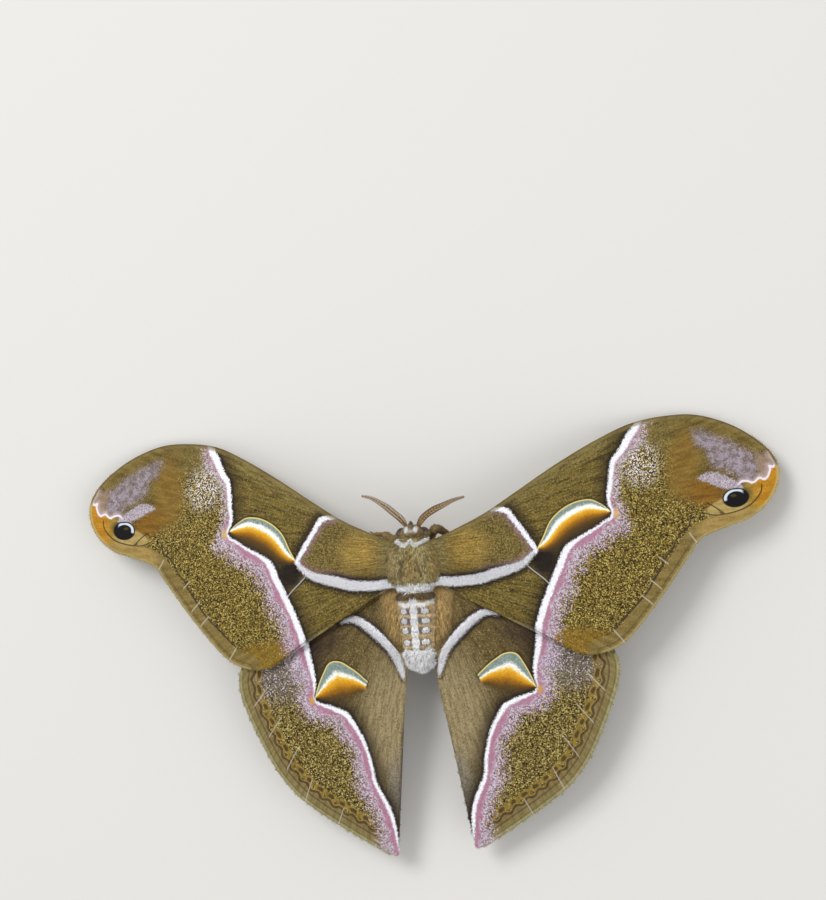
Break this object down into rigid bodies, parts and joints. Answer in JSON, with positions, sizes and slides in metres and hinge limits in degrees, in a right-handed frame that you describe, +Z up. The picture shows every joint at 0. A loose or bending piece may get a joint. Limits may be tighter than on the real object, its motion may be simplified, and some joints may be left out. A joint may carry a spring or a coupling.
{
  "type": "ailanthus silkmoth",
  "caption": "Life-size still model of an ailanthus silkmoth standing with its patterned wings spread flat, furry body and comb-like antennae.",
  "frame": {"origin": "on the floor under the middle of the moth's bounding box", "axes": "+X towards the moth's right wing tip, +Y towards its head, +Z up from the floor its feet stand on"},
  "size_m": [0.1302, 0.0786, 0.0152],
  "materials": {
    "body_fur": "short dense olive-brown fur with a white collar and a white band",
    "abdomen_fur": "tan fur with white tufts",
    "wing_scales": "matte powdery scales, olive-brown with white, mauve, yellow and black markings",
    "antenna": "ochre-brown comb",
    "eye": "dark, glossy, finely faceted",
    "leg": "brown fur with pale bands"
  },
  "bodies": {
    "root": {"head": "body_fur", "thorax": "body_fur", "abdomen": "abdomen_fur", "eye_left": "eye", "eye_right": "eye", "antenna_left": "antenna", "antenna_right": "antenna", "forewing_left": "wing_scales", "forewing_right": "wing_scales", "hindwing_left": "wing_scales", "hindwing_right": "wing_scales", "leg_fore_left": "leg", "leg_fore_right": "leg", "leg_mid_left": "leg", "leg_mid_right": "leg", "leg_hind_left": "leg", "leg_hind_right": "leg"}
  },
  "joints": []
}
